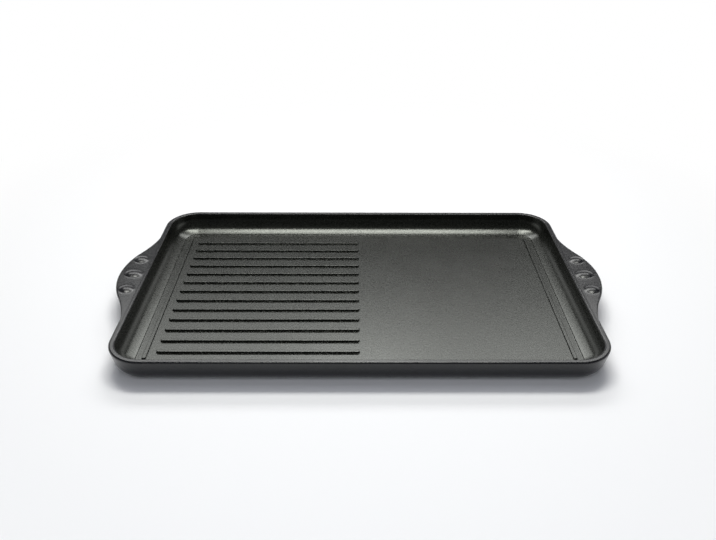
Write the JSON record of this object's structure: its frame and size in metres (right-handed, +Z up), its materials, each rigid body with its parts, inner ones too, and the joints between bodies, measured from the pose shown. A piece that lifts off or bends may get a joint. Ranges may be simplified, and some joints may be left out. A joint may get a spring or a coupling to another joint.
{
  "type": "griddle plate",
  "caption": "Rectangular cast griddle tray with a low rounded wall, raised grill ribs on one half, a flat cooking half, and a flat ear handle on each short side.",
  "frame": {"origin": "middle of the sole, on the surface that the plate stands on", "axes": "+X along the length, towards the flat cooking half; +Y away from the user; +Z up, out of the open tray"},
  "size_m": [0.4726, 0.2792, 0.0276],
  "materials": {
    "cooking_coating": "cast aluminium under a dark charcoal non-stick coating, fine grain, satin",
    "body_coating": "cast aluminium under the same charcoal coating, smoother, satin"
  },
  "bodies": {
    "root": {"floor": "cooking_coating", "rim_wall": "body_coating", "left_handle": "body_coating", "right_handle": "body_coating", "left_fence_rib": "cooking_coating", "right_fence_rib": "cooking_coating", "grill_rib_01": "cooking_coating", "grill_rib_02": "cooking_coating", "grill_rib_03": "cooking_coating", "grill_rib_04": "cooking_coating", "grill_rib_05": "cooking_coating", "grill_rib_06": "cooking_coating", "grill_rib_07": "cooking_coating", "grill_rib_08": "cooking_coating", "grill_rib_09": "cooking_coating", "grill_rib_10": "cooking_coating", "grill_rib_11": "cooking_coating", "grill_rib_12": "cooking_coating", "grill_rib_13": "cooking_coating"}
  },
  "joints": []
}
